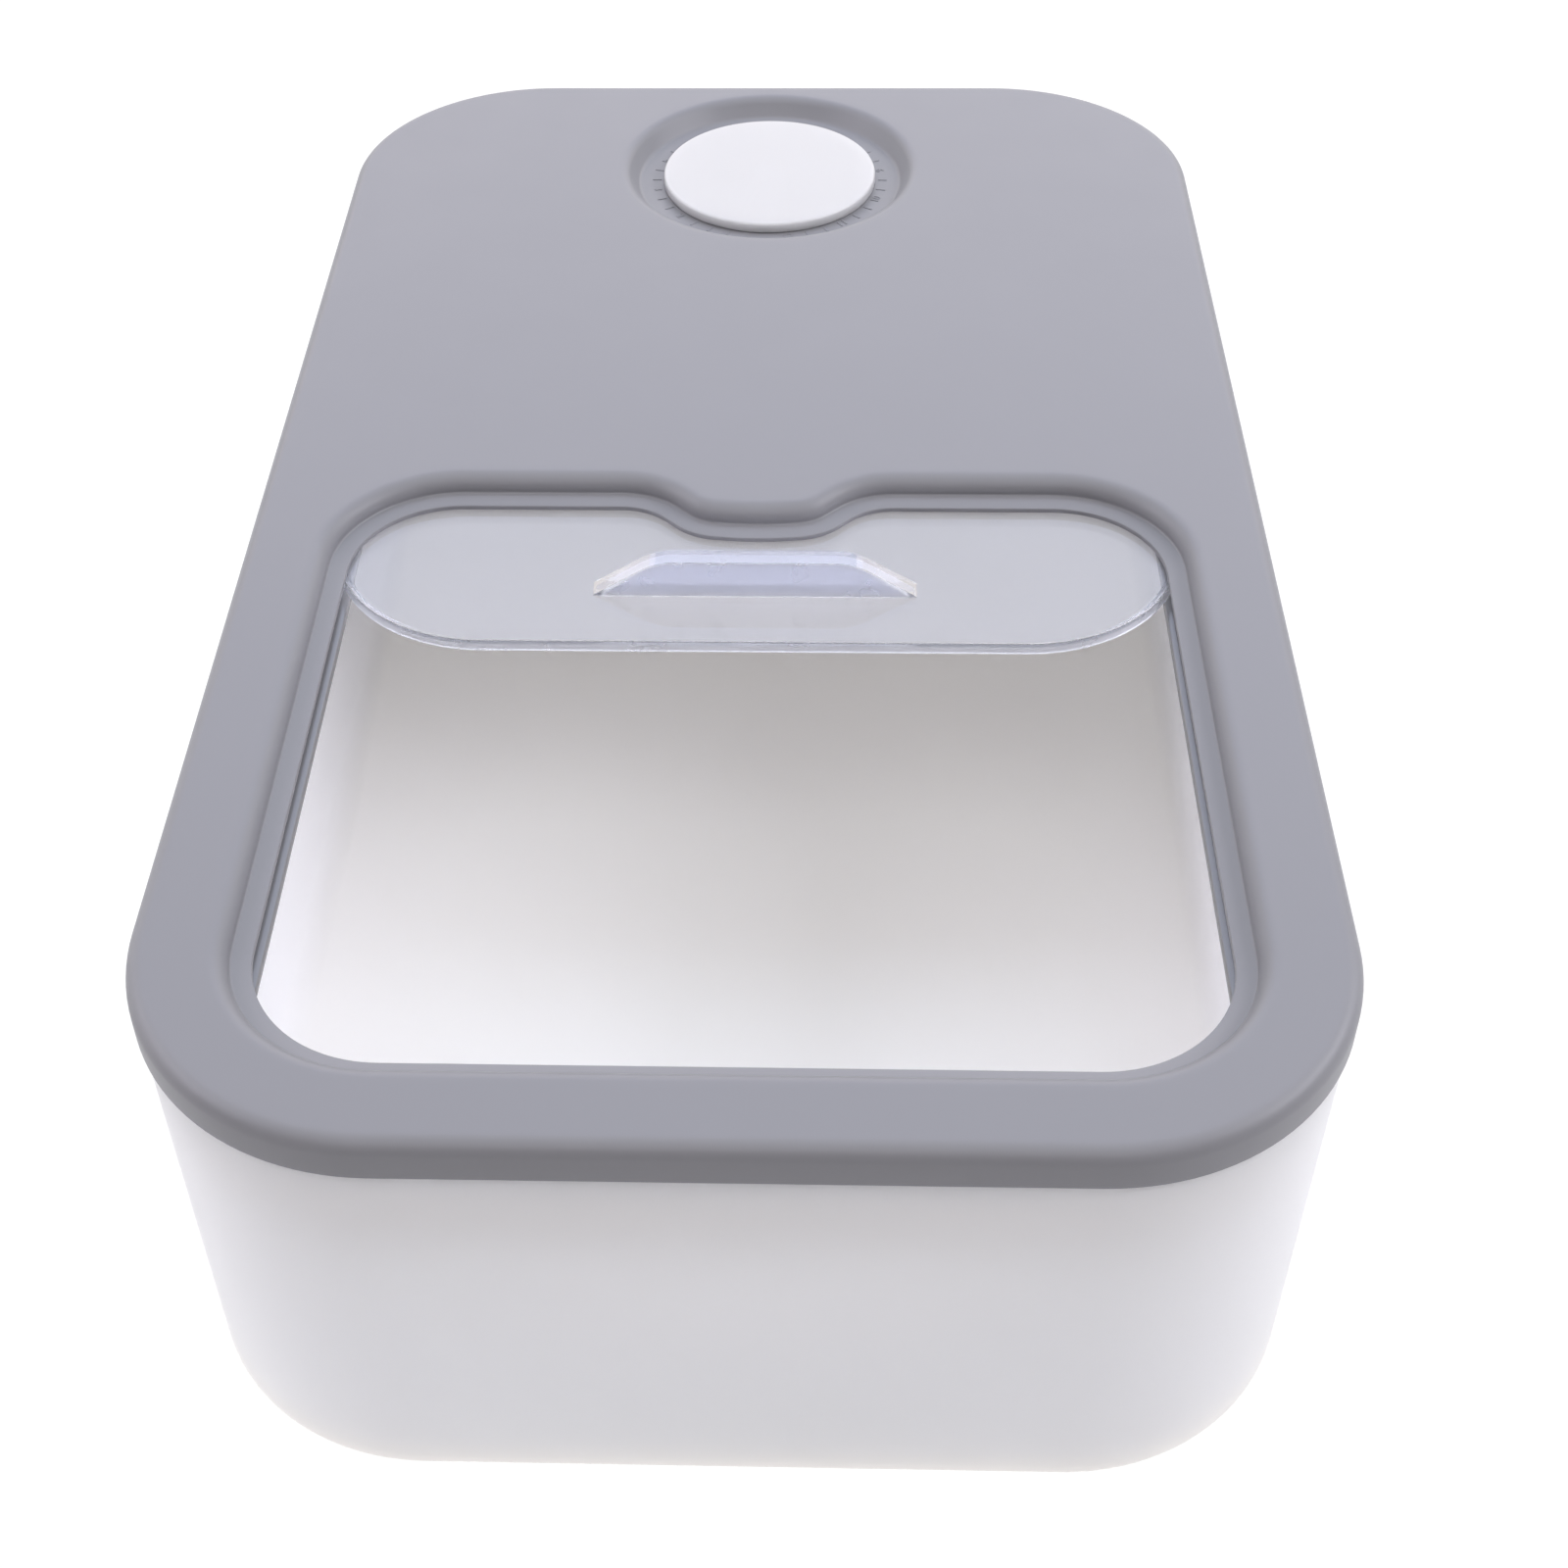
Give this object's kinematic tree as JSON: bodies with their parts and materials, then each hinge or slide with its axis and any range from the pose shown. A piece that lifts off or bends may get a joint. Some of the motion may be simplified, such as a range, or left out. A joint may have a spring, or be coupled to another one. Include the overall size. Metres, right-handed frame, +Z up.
{
  "type": "rice storage bin",
  "caption": "Low white tub with rounded corners and a grey press-on lid, whose clear window panel slides back under the lid to open a wide mouth; a date dial turns in a well at the back.",
  "frame": {"origin": "middle of the underside of the tub, on the table", "axes": "+Z up, +Y towards the back where the dial is, +X to the right seen from the front"},
  "size_m": [0.22, 0.375, 0.1025],
  "materials": {
    "tub_white": "white moulded plastic, soft satin sheen",
    "lid_grey": "cool grey moulded plastic, fine matt texture",
    "rail_grey": "grey moulded plastic, smooth",
    "clear_plastic": "clear glossy plastic with a faint blue cast",
    "dial_white": "white moulded plastic, matt top, smooth edge",
    "seal_silicone": "translucent white silicone",
    "steel": "stainless steel"
  },
  "bodies": {
    "tub": {"tub": "tub_white"},
    "lid": {"lid_cover": "lid_grey", "lid_seal": "seal_silicone", "guide_rail_left": "rail_grey", "guide_rail_right": "rail_grey", "rail_screws_left": "steel", "rail_screws_right": "steel", "dial_o_ring": "seal_silicone"},
    "window": {"window_panel": "clear_plastic", "finger_bar": "clear_plastic"},
    "dial": {"dial_disc": "dial_white", "dial_wave_washer": "steel", "dial_washer": "steel", "dial_screw": "steel"}
  },
  "joints": [
    {"name": "lid_lift", "type": "slide", "parent": "tub", "child": "lid", "axis": [0, 0, 1], "range_m": [0, 0.12]},
    {"name": "window_slide", "type": "slide", "parent": "lid", "child": "window", "axis": [0, -1, 0], "range_m": [0, 0.12]},
    {"name": "dial_turn", "type": "hinge", "parent": "lid", "child": "dial", "pos_m": [0, 0.142, 0.098], "axis": [0, 0, 1], "continuous": true}
  ]
}
